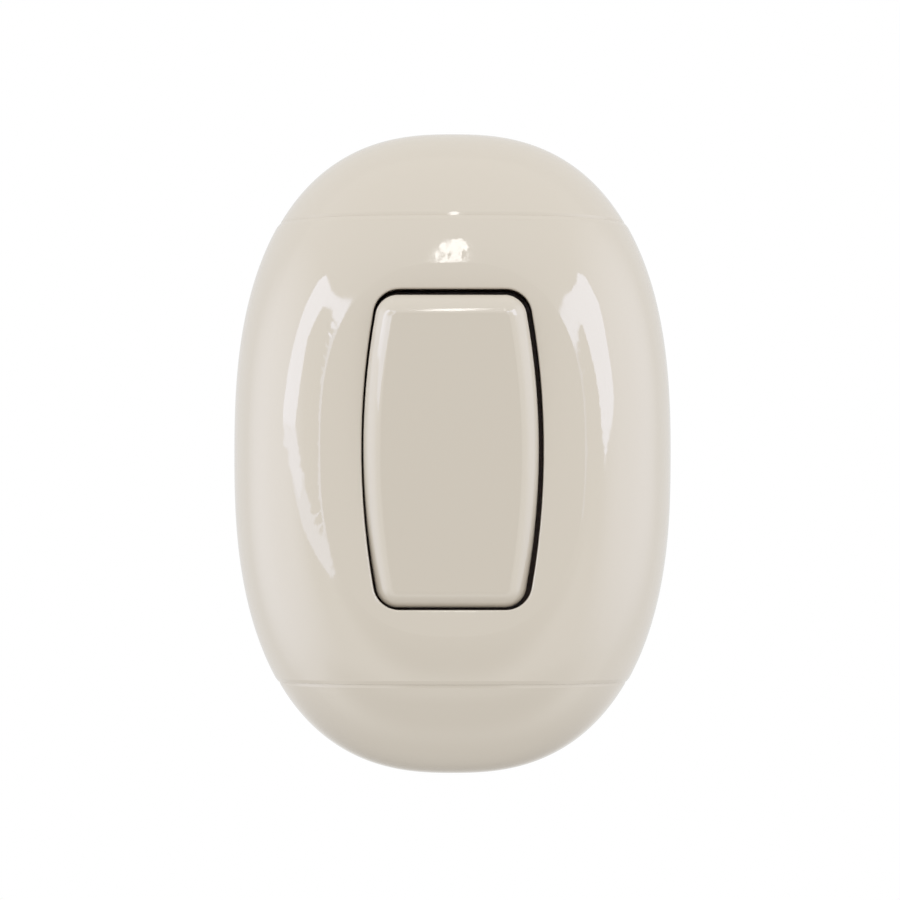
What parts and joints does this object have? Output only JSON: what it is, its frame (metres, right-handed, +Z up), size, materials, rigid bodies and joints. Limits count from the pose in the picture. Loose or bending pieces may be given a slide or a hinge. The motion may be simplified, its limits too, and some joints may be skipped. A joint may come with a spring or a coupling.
{
  "type": "surface-mounted light switch",
  "caption": "Oval surface-mounted wall switch with a tall rocker in a domed cover, clip-on end caps and a seesaw contact inside.",
  "frame": {"origin": "middle of the back face of the base plate, on the wall", "axes": "+Z up along the long axis, +Y into the wall, so the switch stands out along -Y; +X to the right as seen from the room"},
  "size_m": [0.0613, 0.025, 0.0898],
  "materials": {
    "ivory_gloss_moulding": "glossy injection-moulded ivory plastic",
    "ivory_matte_moulding": "satin moulded ivory plastic, as on a hidden base",
    "brown_phenolic_moulding": "matt moulded dark brown phenolic",
    "white_acetal": "smooth white acetal",
    "spring_steel": "drawn spring wire",
    "contact_brass": "rolled and stamped brass",
    "silver_contact": "bright silver alloy rivet",
    "zinc_plated_steel": "bright zinc plating"
  },
  "bodies": {
    "housing": {"base_plate": "ivory_matte_moulding", "front_cover": "ivory_gloss_moulding", "upper_end_cap": "ivory_gloss_moulding", "lower_end_cap": "ivory_gloss_moulding", "cover_screws": "zinc_plated_steel", "mechanism_frame": "brown_phenolic_moulding", "mechanism_screws": "zinc_plated_steel", "common_terminal": "contact_brass", "switched_terminal": "contact_brass", "fixed_contact": "silver_contact", "common_terminal_block": "contact_brass", "switched_terminal_block": "contact_brass", "terminal_screws": "zinc_plated_steel"},
    "rocker": {"rocker": "ivory_gloss_moulding", "plunger_spring": "spring_steel"},
    "plunger": {"plunger": "white_acetal"},
    "blade": {"contact_blade": "contact_brass", "moving_contact": "silver_contact"}
  },
  "joints": [
    {"name": "rocker_press", "type": "hinge", "parent": "housing", "child": "rocker", "pos_m": [-0.0002, -0.0175, 0], "axis": [1, 0, 0], "range_deg": [-10, 0]},
    {"name": "plunger_slide", "type": "slide", "parent": "rocker", "child": "plunger", "axis": [0, -0.9962, -0.0872], "range_m": [0, 0.0006], "stiffness_N_per_m": 150, "springref_m": -0.002, "deforming": ["plunger_spring"]},
    {"name": "blade_tilt", "type": "hinge", "parent": "housing", "child": "blade", "pos_m": [0, -0.0091, 0], "axis": [1, 0, 0], "range_deg": [0, 17]}
  ],
  "couplings": [
    {"joint": "blade_tilt", "follows": "rocker_press", "ratio": -1.7}
  ]
}
